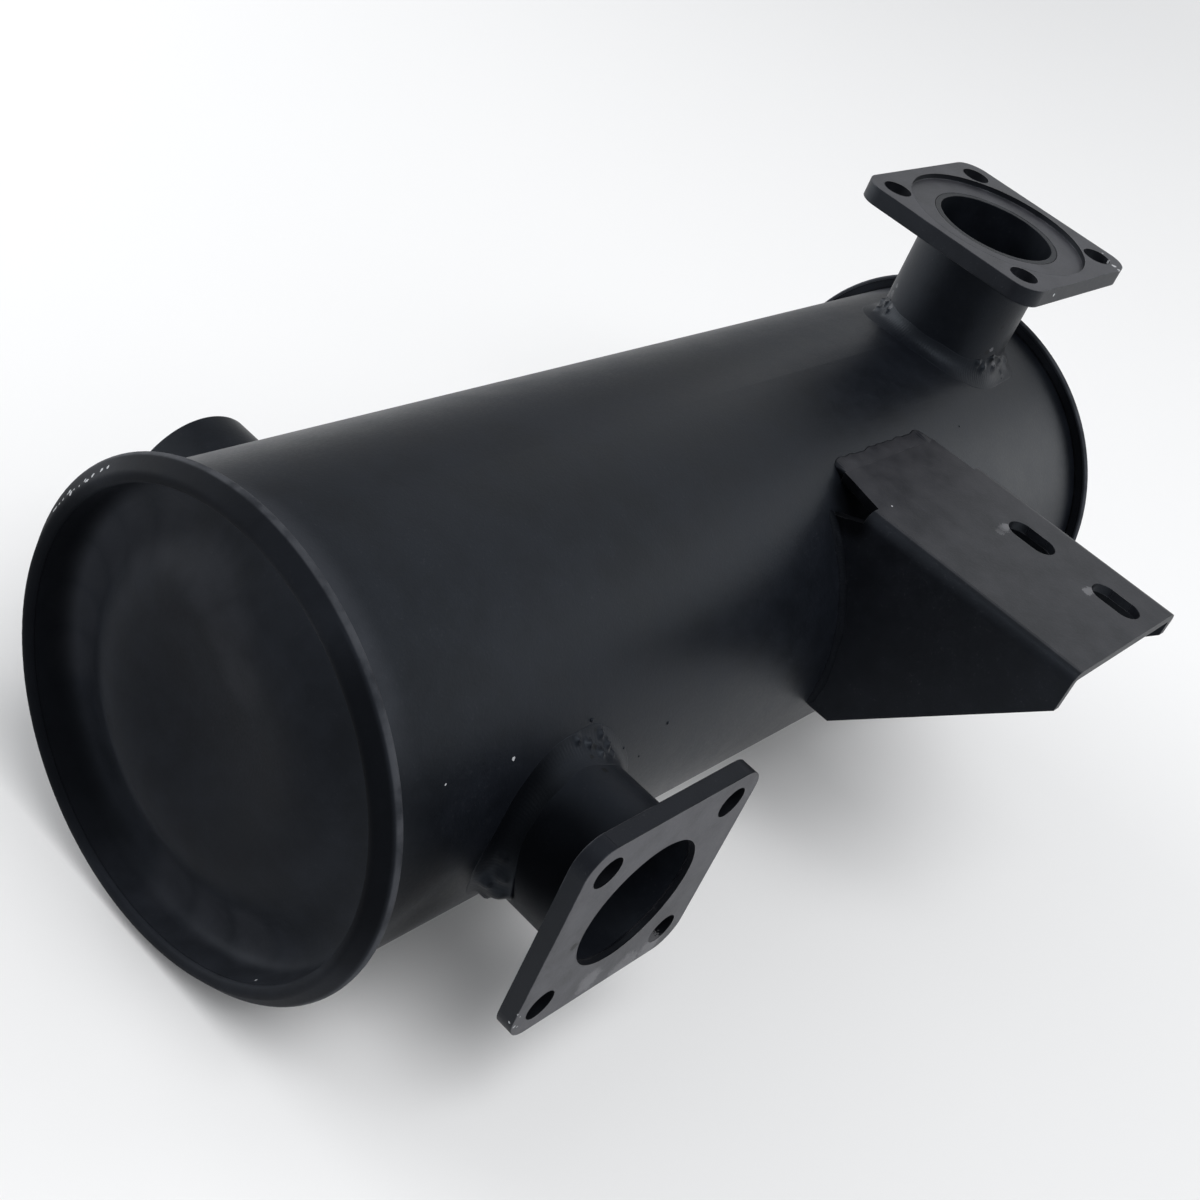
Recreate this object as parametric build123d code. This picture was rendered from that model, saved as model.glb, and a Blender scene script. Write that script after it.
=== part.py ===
from build123d import *
import math
import os

# Exhaust silencer: a rolled steel shell closed by two pressed end caps, with a bolted inlet on top,
# a bolted outlet on the side, a plain tail stub opposite the outlet and a folded hanging bracket.
# Every length is in millimetres. Pieces are drawn about the shell's own axis, which runs along X,
# with X = 0 at the middle of the outlet end's rolled rim, the inlet pointing up (+Z) and the outlet
# pointing sideways (-Y). They are written with the origin moved to the centre of the inlet's face.

# --- driving dimensions ---------------------------------------------------------------------------
shell_diameter = 180.0        # outside of the rolled shell
shell_wall = 1.5
rim_spacing = 469.0           # between the middles of the two rolled rims
fit_gap = 0.3                 # between curved faces that seat in or on each other

rim_height = 6.1              # of the rolled rims, proud of the shell
cap_wall = 1.5
rim_front = 5.7               # how far a rim's foremost edge stands out past its middle
rim_back = 2.5                # how far its back lies behind its middle
rim_front_radius = 2.7        # of the foremost edge
rim_corner_radius = 1.8       # of the two outer corners
cap_ridge_inset = 30.7        # from the recess wall to the crest of the ring pressed in the cap
cap_ridge_depth = 3.8         # of that crest, below the middle of the rim
cap_trough_inset = 6.7        # from the recess wall to the lowest circle of the cap
cap_trough_depth = 12.0
cap_dish_depth = 7.0          # at the centre of the cap

pipe_diameter = 60.3
pipe_wall = 2.6
pipe_intrusion = 16.5         # of each pipe's inner end, past the shell's inside
saddle_weld_leg = 4.5
flange_weld_leg = 1.6
hole_diameter = 13.2          # clearance for M12 bolts
flange_corner_radius = 11.0

inlet_inset = 54.0            # along the shell, from the inlet end's rim
inlet_projection = 58.0       # of the inlet flange's face above the shell
inlet_plate_side = 97.0
inlet_plate_thickness = 8.0
inlet_bolt_spacing = 72.0
gasket_recess_diameter = 86.2
gasket_recess_depth = 2.5

outlet_station = 88.0         # along the shell, from the outlet end's rim
outlet_projection = 41.0      # of the outlet flange's face beyond the shell
outlet_plate_side = 92.0
outlet_plate_thickness = 7.0
outlet_bolt_spacing = 66.4
outlet_mouth_diameter = 56.2
outlet_lip = 2.5              # thickness of the lip that the outlet pipe butts against

tail_stub_station = 84.0      # along the shell, from the outlet end's rim
tail_stub_projection = 27.0   # of the stub's open end beyond the shell
stub_root_relief = 0.4        # of the stub's turned root, under its own outside
stub_root_margin = 1.0        # of that root past the weld round it

bracket_inset = 167.0         # of the bracket's middle, from the inlet end's rim
bracket_width = 93.0
bracket_sheet = 4.0
bracket_bend_radius = 5.5     # outside of the folds
bracket_plate_fall = 11.0     # of the plate's top below the top of the shell
bracket_projection = 86.4     # of the plate's outer edge beyond the shell
bracket_drop = 90.2           # from the plate's top to the gussets' foot
bracket_foot_length = 11.0    # of the gussets' foot beyond the shell
near_lip_depth = 18.0         # of the gusset on the outlet's side, at its outer edge
far_lip_depth = 11.5
slot_width = 13.0
slot_length = 22.5
slot_spacing = 43.0
slot_edge_distance = 17.8     # from the plate's outer edge to the outer slot's middle
slot_side_distance = 26.0     # from the plate's far side to the slots' middle
notch_length = 30.0           # of the relief cut at the shell end of each fold
near_notch_start = 16.0       # how far the one on the outlet's side reaches into the plate at the shell
far_notch_start = 8.0
notch_plate_end = 7.3         # and how far both do at their other end
notch_gusset_start = 17.0     # how far it reaches down the gusset at the shell
notch_gusset_end = 5.5
bracket_weld_leg = 4.0
bracket_weld_crown = 1.0      # of the plate's weld above the plate

inlet_baffle_inset = 124.0    # from the inlet end's rim
outlet_baffle_station = 160.0 # from the outlet end's rim
baffle_wall = 1.5
baffle_rim_length = 12.0
baffle_bend_radius = 4.0
transfer_tube_diameter = 42.4
transfer_tube_offset = 40.0   # of each transfer tube's axis from the shell's axis
transfer_tube_overhang = 24.0 # past each baffle
tube_wall = 1.5               # of the perforated inner tubes
tube_nesting = 9.0            # how far an inner tube slips over a pipe's inner end
perforation_diameter = 7.0
perforation_pitch = 16.0
diffuser_reach = 62.0         # of the inlet diffuser's closed end past the shell's axis
collector_reach = 40.0        # of the outlet collector's closed end past the shell's axis
end_cup_depth = 10.0
bleed_hole_diameter = 8.0
bleed_circle_diameter = 44.0

seam_weld_width = 5.0
seam_weld_height = 1.0
seam_weld_angle = -60.0       # round the shell from +Y, underneath and away from the outlet

# --- sizes that follow ----------------------------------------------------------------------------
shell_radius = shell_diameter / 2
shell_bore_radius = shell_radius - shell_wall
rim_radius = shell_radius + rim_height
pipe_radius = pipe_diameter / 2
pipe_bore_radius = pipe_radius - pipe_wall
inner_tube_radius = pipe_radius + fit_gap + tube_wall
end_cup_radius = inner_tube_radius + fit_gap + tube_wall
transfer_tube_radius = transfer_tube_diameter / 2
cap_wall_radius = shell_bore_radius - fit_gap - cap_wall   # inside of the cap's recess
rim_front_corner = rim_front - rim_front_radius + rim_front_radius / math.tan(math.radians(22.5))
rim_slope_sum = cap_wall_radius + rim_front_corner         # station plus radius along the 45-degree slope
cap_ridge_radius = cap_wall_radius - cap_ridge_inset
cap_trough_radius = cap_wall_radius - cap_trough_inset
pipe_inside_reach = shell_bore_radius - pipe_intrusion
inlet_station = rim_spacing - inlet_inset
inlet_face_height = shell_radius + inlet_projection
outlet_face_distance = shell_radius + outlet_projection
tail_stub_reach = shell_radius + tail_stub_projection
stub_root_radius = pipe_radius - stub_root_relief
stub_root_reach = shell_radius + saddle_weld_leg + stub_root_margin
inlet_baffle_station = rim_spacing - inlet_baffle_inset
bracket_station = rim_spacing - bracket_inset
bracket_plate_height = shell_radius - bracket_plate_fall
bracket_reach = shell_radius + bracket_projection
bracket_foot_reach = shell_radius + bracket_foot_length
near_gusset_face = bracket_station - bracket_width / 2
far_gusset_face = bracket_station + bracket_width / 2
shell_edge_at_plate = math.sqrt(shell_radius**2 - bracket_plate_height**2)
bracket_plate_end = math.sqrt((shell_radius + fit_gap) ** 2 - (bracket_plate_height - bracket_sheet) ** 2)


OUTLET_SIDE = Rot(90, 0, 0)   # turns an upright piece to point out of the outlet
STUB_SIDE = Rot(-90, 0, 0)


def cylinder_between(start, end, radius):
    """A plain round bar between two points on one of the axes' directions."""
    line = Vector(*end) - Vector(*start)
    return Solid.make_cylinder(radius, line.length, Plane(origin=start, z_dir=line))


def tube_between(start, end, radius, wall):
    """A tube between two points, by its outside radius and its wall."""
    return cylinder_between(start, end, radius) - cylinder_between(start, end, radius - wall)


def revolved(outline):
    """A closed outline in the X-Z half plane, turned once round the shell's axis."""
    return revolve(make_face(outline), Axis.X, 360)


def towards_outlet_end(shape):
    """A piece drawn for the inlet end, mirrored to the outlet end."""
    return mirror(shape, Plane.YZ.offset(rim_spacing / 2))


# --- shell and caps -------------------------------------------------------------------------------
def pipe_openings():
    """Bars that clear each pipe where it passes through the shell's wall."""
    far = shell_diameter
    clear = pipe_radius + fit_gap
    inlet = cylinder_between((inlet_station, 0, 0), (inlet_station, 0, far), clear)
    outlet = cylinder_between((outlet_station, 0, 0), (outlet_station, -far, 0), clear)
    clear_root = stub_root_radius + fit_gap
    stub = cylinder_between((tail_stub_station, 0, 0), (tail_stub_station, far, 0), clear_root)
    return [inlet, outlet, stub]


def shell():
    """A rolled tube whose ends are flared outwards, ready to be seamed into the caps' rims."""
    lip_back = rim_spacing - rim_back + cap_wall + fit_gap
    lip_face = lip_back + shell_wall
    slope_inside = rim_slope_sum - (cap_wall + fit_gap) * math.sqrt(2)
    lip_radius = slope_inside - (lip_face - rim_spacing)
    outline = Polyline(
        (rim_spacing / 2, 0, shell_bore_radius),
        (lip_face, 0, shell_bore_radius),
        (lip_face, 0, lip_radius),
        (lip_back, 0, lip_radius),
        (lip_back, 0, shell_radius),
        (rim_spacing / 2, 0, shell_radius),
        close=True,
    )
    half = revolve(make_face(outline), Axis.X, 360)
    whole = half + towards_outlet_end(half)
    for opening in pipe_openings():
        whole = whole - opening
    return whole


def shell_seam_weld():
    """The low bead that closes the rolled shell lengthways, between the two rims."""
    clear_of_rim = rim_back + saddle_weld_leg
    run = rim_spacing - 2 * clear_of_rim
    ridge = cylinder_between((clear_of_rim, 0, 0), (clear_of_rim + run, 0, 0), shell_radius + seam_weld_height)
    core = cylinder_between((clear_of_rim, 0, 0), (clear_of_rim + run, 0, 0), shell_radius + fit_gap)
    strip = Pos(rim_spacing / 2, shell_radius, 0) * Box(run, shell_radius, seam_weld_width)
    return Rot(seam_weld_angle, 0, 0) * ((ridge - core) & strip)


def rim_line(inset):
    """The rim's section from the recess wall over the roll to the shell, set inwards by inset."""
    wall = cap_wall_radius + inset
    top = rim_radius - inset
    slope_sum = rim_slope_sum - inset * math.sqrt(2)
    back = rim_spacing - rim_back + inset
    return FilletPolyline(
        (rim_spacing - cap_trough_depth + cap_trough_inset, 0, wall),
        (rim_spacing + slope_sum - wall, 0, wall),
        (rim_spacing + slope_sum - top, 0, top),
        (back, 0, top),
        (back, 0, shell_radius + fit_gap),
        radius=(rim_front_radius - inset, rim_corner_radius - inset, rim_corner_radius - inset),
    )


def dish_line(setback):
    """The cap's face from its centre to its recess wall, set back by the sheet's thickness."""
    trough = rim_spacing - cap_trough_depth - setback
    return Spline(
        (rim_spacing - cap_dish_depth - setback, 0, 0),
        (rim_spacing - cap_ridge_depth - setback, 0, cap_ridge_radius),
        (trough, 0, cap_trough_radius),
        (rim_spacing - cap_trough_depth + cap_trough_inset, 0, cap_wall_radius + setback),
        tangents=((0, 0, 1), (1, 0, 0)),
    )


def end_cap():
    """The inlet end's cap: a dished disc, its recess wall, and the rim rolled over the shell's lip."""
    front = dish_line(0)
    back = dish_line(cap_wall)
    over = rim_line(0)
    under = rim_line(cap_wall)
    outline = [
        front,
        over,
        Line(over @ 1, under @ 1),
        under,
        back,
        Line(back @ 0, front @ 0),
    ]
    return revolved(outline)


# --- pipes and flanges ----------------------------------------------------------------------------
def flange_plate(side, thickness, bolt_spacing):
    """A square plate with rounded corners and four bolt holes, its face at Z = 0, its back below."""
    plate = extrude(RectangleRounded(side, side, flange_corner_radius), -thickness)
    holes = GridLocations(bolt_spacing, bolt_spacing, 2, 2) * Cylinder(
        hole_diameter / 2, thickness, align=(Align.CENTER, Align.CENTER, Align.MAX)
    )
    return plate - holes


def inlet_flange():
    """The top flange: the pipe passes through it, up to the floor of a round gasket recess."""
    plate = flange_plate(inlet_plate_side, inlet_plate_thickness, inlet_bolt_spacing)
    recess = Cylinder(
        gasket_recess_diameter / 2, gasket_recess_depth, align=(Align.CENTER, Align.CENTER, Align.MAX)
    )
    bore = Cylinder(
        pipe_radius + fit_gap, inlet_plate_thickness, align=(Align.CENTER, Align.CENTER, Align.MAX)
    )
    return Pos(inlet_station, 0, inlet_face_height) * (plate - recess - bore)


def outlet_flange():
    """The side flange: a flat face, with a socket behind that the pipe's end butts into."""
    plate = flange_plate(outlet_plate_side, outlet_plate_thickness, outlet_bolt_spacing)
    mouth = Cylinder(
        outlet_mouth_diameter / 2, outlet_plate_thickness, align=(Align.CENTER, Align.CENTER, Align.MAX)
    )
    socket_depth = outlet_plate_thickness - outlet_lip
    socket = Pos(0, 0, -outlet_lip) * Cylinder(
        pipe_radius + fit_gap, socket_depth, align=(Align.CENTER, Align.CENTER, Align.MAX)
    )
    return Pos(outlet_station, -outlet_face_distance, 0) * Rot(90, 0, 0) * (plate - mouth - socket)


def welded_pipe(reach):
    """A pipe along +Z from inside the shell to reach."""
    return tube_between((0, 0, pipe_inside_reach), (0, 0, reach), pipe_radius, pipe_wall)


def inlet_pipe():
    return Pos(inlet_station, 0, 0) * welded_pipe(inlet_face_height - gasket_recess_depth)


def outlet_pipe():
    return Pos(outlet_station, 0, 0) * OUTLET_SIDE * welded_pipe(outlet_face_distance - outlet_lip)


def tail_stub():
    """The plain stub, its root turned down a little where the shell and the weld take it."""
    root = cylinder_between((0, 0, pipe_inside_reach), (0, 0, stub_root_reach), stub_root_radius)
    free_end = cylinder_between((0, 0, stub_root_reach), (0, 0, tail_stub_reach), pipe_radius)
    bore = cylinder_between((0, 0, pipe_inside_reach), (0, 0, tail_stub_reach), pipe_bore_radius)
    return Pos(tail_stub_station, 0, 0) * STUB_SIDE * (root + free_end - bore)


def saddle_weld(radius):
    """The fillet weld where an upright pipe of a given radius meets the shell, drawn at X = 0."""
    reach = pipe_diameter
    body = cylinder_between((-reach, 0, 0), (reach, 0, 0), shell_radius)
    pipe = cylinder_between((0, 0, 0), (0, 0, shell_diameter), radius)
    joined = body + pipe
    saddle_bottom = math.sqrt(shell_radius**2 - radius**2)
    saddle = [
        edge
        for edge in joined.edges()
        if edge.geom_type != GeomType.LINE
        and saddle_bottom - 1 < edge.center().Z < shell_radius + 1
        and edge.bounding_box().size.X > radius
        and edge.bounding_box().size.X < 2 * radius + 1
    ]
    filled = chamfer(saddle, saddle_weld_leg)
    clear_body = cylinder_between((-reach, 0, 0), (reach, 0, 0), shell_radius + fit_gap)
    clear_pipe = cylinder_between((0, 0, 0), (0, 0, shell_diameter), radius + fit_gap)
    return filled - clear_body - clear_pipe


def flange_weld(back_distance):
    """The thin seal weld behind a flange, round a pipe along +Z whose flange ends at back_distance."""
    inner = pipe_radius + fit_gap
    outline = Polyline(
        (inner, 0, back_distance),
        (inner + flange_weld_leg, 0, back_distance),
        (inner, 0, back_distance - flange_weld_leg),
        close=True,
    )
    return revolve(make_face(outline), Axis.Z, 360)


# --- hanging bracket ------------------------------------------------------------------------------
def gusset_blank(face_station, inwards, lip_depth):
    """The side view of one gusset, as a slab that the folded channel is trimmed to."""
    top = bracket_plate_height
    foot = top - bracket_drop
    side_view = Polyline(
        (0, top),
        (-bracket_reach, top),
        (-bracket_reach, top - lip_depth),
        (-bracket_foot_reach, foot),
        (0, foot),
        close=True,
    )
    half_width = bracket_width / 2
    slab = extrude(Plane.YZ * make_face(side_view), half_width)
    return Pos(face_station if inwards > 0 else face_station - half_width, 0, 0) * slab


def fold_notch(face_station, inwards, plate_start):
    """The relief cut across one fold, tapering away from the shell."""
    top = bracket_plate_height
    start = shell_edge_at_plate
    end = start + notch_length
    over = bracket_bend_radius
    in_plate = Polyline(
        (-over * inwards, -start + over),
        (plate_start * inwards, -start + over),
        (plate_start * inwards, -start),
        (notch_plate_end * inwards, -end),
        (-over * inwards, -end),
        close=True,
    )
    plan = Pos(face_station, 0, top - bracket_sheet) * extrude(make_face(in_plate), bracket_drop)
    in_gusset = Polyline(
        (0, top + over),
        (-end, top + over),
        (-end, top - notch_gusset_end),
        (-start, top - notch_gusset_start),
        (0, top - notch_gusset_start),
        close=True,
    )
    side = Pos(face_station - over, 0, 0) * extrude(Plane.YZ * make_face(in_gusset), 2 * over)
    return [plan, side]


def fold_notches():
    """The cuts for both folds' notches, the wider one on the outlet's side."""
    near = fold_notch(near_gusset_face, 1, near_notch_start)
    return near + fold_notch(far_gusset_face, -1, far_notch_start)


def mounting_bracket():
    """A channel folded from one sheet: a slotted plate between two gussets cut to the shell."""
    height = bracket_drop
    length = bracket_reach
    outer = Box(bracket_width, length, height, align=(Align.CENTER, Align.MAX, Align.MAX))
    fold_edges = outer.edges().filter_by(Axis.Y).group_by(Axis.Z)[-1]
    outer = fillet(fold_edges, bracket_bend_radius)
    inner = Box(
        bracket_width - 2 * bracket_sheet,
        length,
        height - bracket_sheet,
        align=(Align.CENTER, Align.MAX, Align.MAX),
    )
    inner_edges = inner.edges().filter_by(Axis.Y).group_by(Axis.Z)[-1]
    inner = fillet(inner_edges, bracket_bend_radius - bracket_sheet)
    channel = outer - Pos(0, 0, -bracket_sheet) * inner
    channel = Pos(bracket_station, 0, bracket_plate_height) * channel

    near = channel & gusset_blank(near_gusset_face, 1, near_lip_depth)
    far = channel & gusset_blank(far_gusset_face, -1, far_lip_depth)
    bracket = near + far

    for cut in fold_notches():
        bracket = bracket - cut
    bracket = bracket - Pos(bracket_station, -bracket_plate_end, bracket_plate_height) * Box(
        bracket_width, bracket_reach, bracket_sheet, align=(Align.CENTER, Align.MIN, Align.MAX)
    )

    slot_x = far_gusset_face - slot_side_distance
    outer_slot_y = -(bracket_reach - slot_edge_distance)
    for step in range(2):
        slot = extrude(SlotOverall(slot_length, slot_width, 90), -2 * bracket_sheet)
        place = Pos(slot_x, outer_slot_y + step * slot_spacing, bracket_plate_height)
        bracket = bracket - place * slot

    seat = cylinder_between((0, 0, 0), (rim_spacing, 0, 0), shell_radius + fit_gap)
    return bracket - seat


def bracket_plate_weld():
    """The bead that fills the groove between the plate's square end and the shell, notch to notch."""
    top = bracket_plate_height
    crown = top + bracket_weld_crown
    outline = Polyline(
        (-bracket_plate_end, top - bracket_sheet),
        (-bracket_plate_end, top),
        (-shell_edge_at_plate, crown),
        (-shell_edge_at_plate + bracket_weld_leg, crown),
        close=True,
    )
    bead = extrude(Plane.YZ * make_face(outline), bracket_width)
    bead = Pos(near_gusset_face, 0, 0) * bead
    for cut in fold_notches():
        bead = bead - cut
    seat = cylinder_between((0, 0, 0), (rim_spacing, 0, 0), shell_radius + fit_gap)
    return bead - seat


def gusset_weld(face_station, outwards):
    """The fillet between a gusset's outer side and the shell, from the notch down to the foot."""
    inner = shell_radius + fit_gap
    outline = Polyline(
        (face_station, -inner, 0),
        (face_station, -inner - bracket_weld_leg, 0),
        (face_station + bracket_weld_leg * outwards, -inner, 0),
        close=True,
    )
    notch_bottom = bracket_plate_height - notch_gusset_start
    foot = bracket_plate_height - bracket_drop
    upper = math.degrees(math.asin(notch_bottom / shell_radius))
    lower = math.degrees(math.asin(foot / shell_radius))
    swept = revolve(make_face(outline), Axis.X, upper - lower)
    wedge = Rot(-upper, 0, 0) * swept
    return wedge


# --- inner pieces ---------------------------------------------------------------------------------
def perforations(start, end, around, radius):
    """Bars across a tube along +Z from start to end: rows at the pitch, turned half a step in turn."""
    count = int((end - start - perforation_pitch) / perforation_pitch) + 1
    first = (start + end) / 2 - (count - 1) * perforation_pitch / 2
    bars = []
    for row in range(count):
        turn = (row % 2) * 180 / around
        for index in range(around // 2):
            bar = Rot(0, 0, turn + index * 360 / around) * Rot(90, 0, 0)
            bar = bar * Cylinder(perforation_diameter / 2, 4 * radius)
            bars.append(Pos(0, 0, first + row * perforation_pitch) * bar)
    return bars


def perforated_tube(start, end, radius, hole_start, hole_end, around):
    """A tube along +Z with rows of holes between hole_start and hole_end."""
    tube = tube_between((0, 0, start), (0, 0, end), radius, tube_wall)
    return tube - perforations(hole_start, hole_end, around, radius)


def inlet_diffuser():
    """Slips over the inlet pipe's inner end and spreads the gas into the inlet chamber."""
    top = pipe_inside_reach + tube_nesting
    tube = perforated_tube(
        -diffuser_reach, top, inner_tube_radius, end_cup_depth - diffuser_reach, pipe_inside_reach, 6
    )
    return Pos(inlet_station, 0, 0) * tube


def outlet_collector():
    """Slips over the outlet pipe's inner end and gathers the gas from the outlet chamber."""
    reach = pipe_inside_reach + tube_nesting
    tube = perforated_tube(
        -collector_reach, reach, inner_tube_radius, end_cup_depth - collector_reach, pipe_inside_reach, 6
    )
    return Pos(outlet_station, 0, 0) * OUTLET_SIDE * tube


def end_cup(reach):
    """A pressed cup along +Z that closes the end of an inner tube, reach below the shell's axis."""
    cup = Cylinder(end_cup_radius, end_cup_depth, align=(Align.CENTER, Align.CENTER, Align.MIN))
    hollow = Pos(0, 0, tube_wall) * Cylinder(
        end_cup_radius - tube_wall, end_cup_depth, align=(Align.CENTER, Align.CENTER, Align.MIN)
    )
    return Pos(0, 0, -reach - tube_wall) * (cup - hollow)


def transfer_tube(side):
    """Carries gas from the inlet chamber to the outlet chamber, with holes in the middle chamber."""
    start = outlet_baffle_station - transfer_tube_overhang
    end = inlet_baffle_station + transfer_tube_overhang
    tube = perforated_tube(
        start,
        end,
        transfer_tube_radius,
        outlet_baffle_station + baffle_rim_length,
        inlet_baffle_station - baffle_rim_length,
        4,
    )
    return Pos(0, 0, side * transfer_tube_offset) * Rot(0, 90, 0) * tube


def baffle(station, rim_direction):
    """A pressed disc across the shell, holed for the transfer tubes, its rim turned along the shell."""
    radius = shell_bore_radius - fit_gap
    cup = Cylinder(radius, baffle_rim_length, align=(Align.CENTER, Align.CENTER, Align.MIN))
    cup = fillet(cup.edges().group_by(Axis.Z)[0], baffle_bend_radius)
    hollow = Cylinder(radius - baffle_wall, baffle_rim_length, align=(Align.CENTER, Align.CENTER, Align.MIN))
    hollow = fillet(hollow.edges().group_by(Axis.Z)[0], baffle_bend_radius - baffle_wall)
    disc = cup - Pos(0, 0, baffle_wall) * hollow
    for side in (-1, 1):
        disc = disc - Pos(side * transfer_tube_offset, 0, 0) * Cylinder(
            transfer_tube_radius + fit_gap, 4 * baffle_rim_length
        )
    for side in (-1, 1):
        disc = disc - Pos(0, side * bleed_circle_diameter / 2, 0) * Cylinder(
            bleed_hole_diameter / 2, 4 * baffle_rim_length
        )
    return Pos(station, 0, 0) * Rot(0, 90 * rim_direction, 0) * disc


# --- assembly -------------------------------------------------------------------------------------
def assembly():
    """Every piece by name, in its place about the shell's axis."""
    pipe_weld = saddle_weld(pipe_radius)
    stub_weld = saddle_weld(stub_root_radius)
    inlet_back = inlet_face_height - inlet_plate_thickness
    outlet_back = outlet_face_distance - outlet_plate_thickness
    cap = end_cap()
    return {
        "shell": shell(),
        "shell_seam_weld": shell_seam_weld(),
        "inlet_end_cap": cap,
        "outlet_end_cap": towards_outlet_end(cap),
        "inlet_flange": inlet_flange(),
        "inlet_pipe": inlet_pipe(),
        "inlet_saddle_weld": Pos(inlet_station, 0, 0) * pipe_weld,
        "inlet_flange_weld": Pos(inlet_station, 0, 0) * flange_weld(inlet_back),
        "outlet_flange": outlet_flange(),
        "outlet_pipe": outlet_pipe(),
        "outlet_saddle_weld": Pos(outlet_station, 0, 0) * OUTLET_SIDE * pipe_weld,
        "outlet_flange_weld": Pos(outlet_station, 0, 0) * OUTLET_SIDE * flange_weld(outlet_back),
        "tail_stub": tail_stub(),
        "tail_stub_saddle_weld": Pos(tail_stub_station, 0, 0) * STUB_SIDE * stub_weld,
        "mounting_bracket": mounting_bracket(),
        "bracket_plate_weld": bracket_plate_weld(),
        "bracket_near_weld": gusset_weld(near_gusset_face, -1),
        "bracket_far_weld": gusset_weld(far_gusset_face, 1),
        "inlet_baffle": baffle(inlet_baffle_station, 1),
        "outlet_baffle": baffle(outlet_baffle_station, -1),
        "upper_transfer_tube": transfer_tube(1),
        "lower_transfer_tube": transfer_tube(-1),
        "inlet_diffuser": inlet_diffuser(),
        "inlet_diffuser_cap": Pos(inlet_station, 0, 0) * end_cup(diffuser_reach),
        "outlet_collector": outlet_collector(),
        "outlet_collector_cap": Pos(outlet_station, 0, 0) * OUTLET_SIDE * end_cup(collector_reach),
    }


os.makedirs("parts", exist_ok=True)
to_inlet_face = Pos(-inlet_station, 0, -inlet_face_height)
for name, piece in assembly().items():
    export_step(to_inlet_face * piece, "parts/" + name + ".step")
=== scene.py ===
import bpy
import numpy as np
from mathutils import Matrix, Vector


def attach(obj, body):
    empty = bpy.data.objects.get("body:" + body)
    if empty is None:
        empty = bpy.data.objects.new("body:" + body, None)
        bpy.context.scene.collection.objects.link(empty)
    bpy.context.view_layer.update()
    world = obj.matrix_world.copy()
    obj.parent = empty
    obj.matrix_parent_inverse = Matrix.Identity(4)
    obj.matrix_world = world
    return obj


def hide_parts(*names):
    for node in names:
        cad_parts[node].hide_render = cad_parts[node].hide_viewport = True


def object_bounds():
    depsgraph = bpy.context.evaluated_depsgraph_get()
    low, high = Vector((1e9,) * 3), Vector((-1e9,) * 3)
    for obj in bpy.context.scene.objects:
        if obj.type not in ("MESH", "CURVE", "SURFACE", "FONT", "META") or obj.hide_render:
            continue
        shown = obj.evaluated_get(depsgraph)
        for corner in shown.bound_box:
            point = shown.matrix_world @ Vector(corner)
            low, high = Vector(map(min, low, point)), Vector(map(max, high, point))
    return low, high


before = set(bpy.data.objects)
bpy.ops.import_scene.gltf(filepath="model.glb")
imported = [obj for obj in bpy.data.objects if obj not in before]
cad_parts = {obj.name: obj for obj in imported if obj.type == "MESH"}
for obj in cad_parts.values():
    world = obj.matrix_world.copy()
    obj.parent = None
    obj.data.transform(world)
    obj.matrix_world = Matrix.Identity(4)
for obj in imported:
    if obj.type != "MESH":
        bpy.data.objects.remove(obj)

cad_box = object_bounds()

# --- rolled shell ---------------------------------------------------------------------------------
# A tube rolled from 1.5 mm steel sheet, 180 mm across, its ends flared into the caps' seams. The
# whole silencer is sprayed with satin black heat paint after welding and baked, so the shell carries
# the plain finish: fine spray grain, slow drifts of gloss and a few bare flecks, with painted shade in
# a few places and painted reflection by the rims.
SHELL_RADIUS = 0.0900
SHELL_AXIS_Z = -0.1480

DRIFT_CELLS = 11.0            # to the metre: slow drifts of tone across the paint
CLOUD_CELLS = 75.0            # clouds the size of a thumb
SPRAY_CELLS = 850.0           # the spray's grain
FINE_CELLS = 2600.0           # the grain within it
RAGGED_CELLS = 1400.0         # the ragged edges of chips and scuffs

PAINT_GLINT = (0.76, 0.87, 1.0)          # the cold tint of the paint's gloss
PAINTED_REFLECTION_TONE = (0.032, 0.034, 0.041)       # painted reflection, a paler tone
DUST_TONE = (0.15, 0.155, 0.165)
CREST_HIGHLIGHT_TONE = (0.070, 0.073, 0.082)       # painted highlight along a rim's crest
WORN_TONE = (0.17, 0.17, 0.185)          # primer and steel along worn edges
SCUFF_TONE = (0.16, 0.16, 0.17)
PIT_TONE = (0.0015, 0.0015, 0.0018)
BARE_FLECK = (0.42, 0.43, 0.45)          # steel where paint has chipped off


def new_material(name):
    """An empty node material with a principled shader joined to its output."""
    material = bpy.data.materials.new(name)
    material.use_nodes = True
    tree = material.node_tree
    tree.nodes.clear()
    output = tree.nodes.new("ShaderNodeOutputMaterial")
    shader = tree.nodes.new("ShaderNodeBsdfPrincipled")
    tree.links.new(shader.outputs["BSDF"], output.inputs["Surface"])
    return material, tree, shader


def object_place(tree, stretch=(1.0, 1.0, 1.0), centre=(0.0, 0.0, 0.0)):
    """The object's own coordinates in metres, centred on a point and multiplied by stretch."""
    source = tree.nodes.new("ShaderNodeTexCoord").outputs["Object"]
    if stretch == (1.0, 1.0, 1.0) and centre == (0.0, 0.0, 0.0):
        return source
    mapping = tree.nodes.new("ShaderNodeMapping")
    mapping.inputs["Scale"].default_value = stretch
    mapping.inputs["Location"].default_value = tuple(-c * s for c, s in zip(centre, stretch))
    tree.links.new(source, mapping.inputs["Vector"])
    return mapping.outputs["Vector"]


def noise(tree, place, cells, detail, rough=0.5):
    """Fractal noise, about 0.5 on average, with so many cells to the metre."""
    node = tree.nodes.new("ShaderNodeTexNoise")
    node.inputs["Scale"].default_value = cells
    node.inputs["Detail"].default_value = detail
    node.inputs["Roughness"].default_value = rough
    tree.links.new(place, node.inputs["Vector"])
    return node.outputs["Fac"]


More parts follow.
